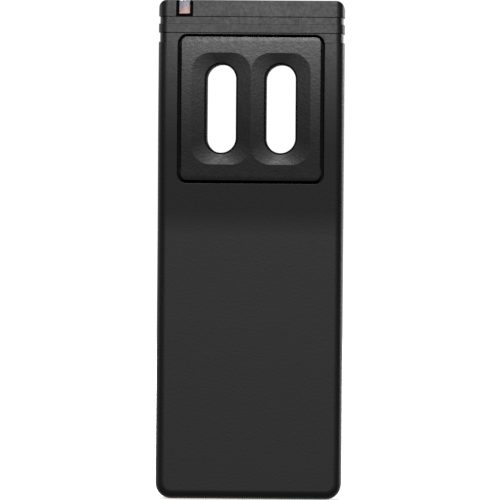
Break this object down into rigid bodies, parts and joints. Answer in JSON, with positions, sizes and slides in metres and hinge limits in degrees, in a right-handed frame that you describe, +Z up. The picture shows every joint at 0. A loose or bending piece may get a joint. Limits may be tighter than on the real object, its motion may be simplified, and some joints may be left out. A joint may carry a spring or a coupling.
{
  "type": "wireless bodypack transmitter",
  "caption": "Slim black wireless bodypack transmitter with through strap slots, a hinged battery door, a small display, keys and a microphone socket.",
  "frame": {"origin": "middle of the bottom end, centred on width and on full depth", "axes": "+Z up the pack's length, -Y out of the rear side that lies against the wearer, +X to the right seen from the rear"},
  "size_m": [0.045, 0.02, 0.121],
  "materials": {
    "case_plastic": "finely textured black moulding",
    "plate_plastic": "smoother black moulding",
    "inner_plastic": "plain black moulding",
    "gloss_black": "polished",
    "window_lens": "polished, pale smoky",
    "rubber": "soft",
    "steel": "plated",
    "nickel": "nickel plated",
    "copper": "bare strip",
    "tin": "tin plated sheet",
    "board": "solder mask",
    "chip": "moulded epoxy",
    "switch_grey": "moulded",
    "display": "reflective display panel",
    "key_plastic": "satin",
    "led": "clear epoxy",
    "mute_red": "satin",
    "cell_jacket": "printed foil without lettering"
  },
  "bodies": {
    "case": {"rear_shell": "case_plastic", "front_shell": "case_plastic", "top_cap": "case_plastic", "strap_plate": "plate_plastic", "slot_liner": "plate_plastic", "battery_tray": "inner_plastic", "shell_seal": "rubber", "case_screws": "steel", "door_hinge_pin": "steel", "window_bezel": "gloss_black", "display_window": "gloss_black", "status_window": "window_lens", "battery_cell_left": "cell_jacket", "battery_cell_right": "cell_jacket", "contact_springs": "nickel", "contact_plates": "nickel", "jack_barrel": "nickel", "jack_nut": "nickel", "main_board": "board", "head_board": "board", "board_chips": "chip", "jack_housing": "chip", "rf_shield": "tin", "antenna": "copper", "key_switches": "switch_grey", "power_switch": "switch_grey", "mute_switch_body": "switch_grey", "display_module": "display", "status_led": "led"},
    "door": {"battery_door": "case_plastic", "door_pad": "rubber", "latch_spring": "steel"},
    "latch": {"door_latch": "case_plastic"},
    "power": {"power_button": "key_plastic"},
    "mute": {"mute_knob": "mute_red"},
    "minus": {"minus_key": "key_plastic"},
    "plus": {"plus_key": "key_plastic"}
  },
  "joints": [
    {"name": "door_hinge", "type": "hinge", "parent": "case", "child": "door", "pos_m": [0, 0.00701, 0.0031], "axis": [-1, 0, 0], "range_deg": [0, 100]},
    {"name": "latch_slide", "type": "slide", "parent": "door", "child": "latch", "axis": [0, 0, -1], "range_m": [0, 0.0008], "stiffness_N_per_m": 400, "springref_m": -0.0008, "deforming": ["latch_spring"]},
    {"name": "power_press", "type": "slide", "parent": "case", "child": "power", "axis": [0, 0, -1], "range_m": [0, 0.0004], "stiffness_N_per_m": 900, "springref_m": -0.0004},
    {"name": "mute_slide", "type": "slide", "parent": "case", "child": "mute", "axis": [1, 0, 0], "range_m": [0, 0.0026]},
    {"name": "minus_press", "type": "slide", "parent": "case", "child": "minus", "axis": [0, -1, 0], "range_m": [0, 0.0004], "stiffness_N_per_m": 900, "springref_m": -0.0004},
    {"name": "plus_press", "type": "slide", "parent": "case", "child": "plus", "axis": [0, -1, 0], "range_m": [0, 0.0004], "stiffness_N_per_m": 900, "springref_m": -0.0004}
  ]
}
